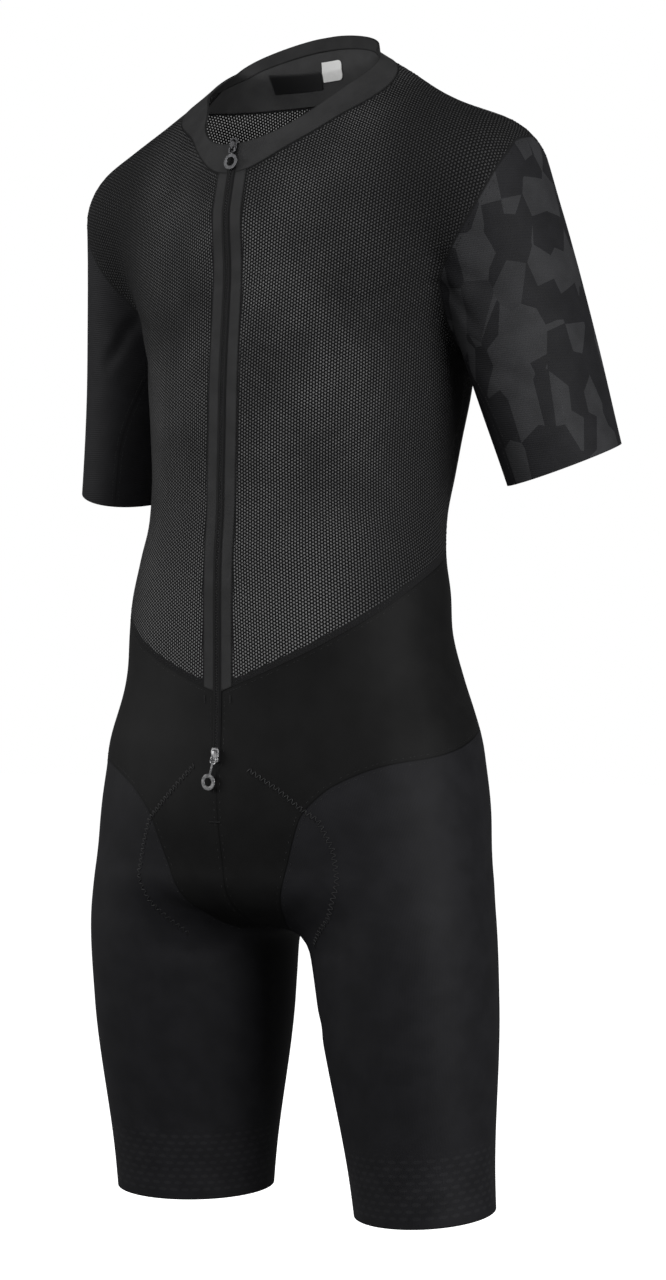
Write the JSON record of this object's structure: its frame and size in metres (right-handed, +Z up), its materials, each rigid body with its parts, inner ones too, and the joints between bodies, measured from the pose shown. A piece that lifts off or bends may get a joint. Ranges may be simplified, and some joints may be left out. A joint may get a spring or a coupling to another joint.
{
  "type": "roadsuit",
  "caption": "Close-fitting one-piece cycling suit with short sleeves, mid-thigh legs, a low round collar and a front zip with a slider at each end, hollow as if worn.",
  "frame": {"origin": "between the wearer's shoulders, on the suit's middle plane, at the level of the base of the neck", "axes": "+X to the wearer's left, -Y to the front, +Z up"},
  "size_m": [0.53, 0.259, 0.9864],
  "materials": {
    "trim_knit": "matte black elastic knit",
    "mesh_knit": "matte black open mesh knit",
    "print_knit": "black elastic knit with a faint tonal print",
    "sleeve_knit": "matte black elastic knit",
    "zip_tape": "black coil zip on woven tape",
    "brief_knit": "slightly satin black elastic knit",
    "leg_knit": "slightly satin black elastic knit",
    "label": "plain black printed patch",
    "tab": "plain pale printed patch",
    "dark_metal": "dark plated zinc",
    "pale_metal": "bright plated zinc"
  },
  "bodies": {
    "suit": {"back_mesh": "mesh_knit", "brief_left": "brief_knit", "brief_right": "brief_knit", "collar": "trim_knit", "front_left": "mesh_knit", "front_right": "mesh_knit", "leg_left": "leg_knit", "leg_right": "leg_knit", "neck_label": "label", "placket_left": "trim_knit", "placket_right": "trim_knit", "size_tab": "tab", "sleeve_left": "print_knit", "sleeve_right": "sleeve_knit", "slider_bottom": "pale_metal", "slider_top": "dark_metal", "underarm_left": "sleeve_knit", "underarm_right": "sleeve_knit", "yoke": "trim_knit", "zip_left": "zip_tape", "zip_right": "zip_tape"},
    "top_pull": {"pull_top": "dark_metal"},
    "bottom_pull": {"pull_bottom": "pale_metal"}
  },
  "joints": [
    {"name": "top_pull_hinge", "type": "hinge", "parent": "suit", "child": "top_pull", "pos_m": [0, -0.07916, -0.05935], "axis": [-1, 0, 0], "range_deg": [0, 130]},
    {"name": "bottom_pull_hinge", "type": "hinge", "parent": "suit", "child": "bottom_pull", "pos_m": [0, -0.10406, -0.55313], "axis": [-0.9563, 0.0051, 0.2923], "range_deg": [0, 130]}
  ]
}
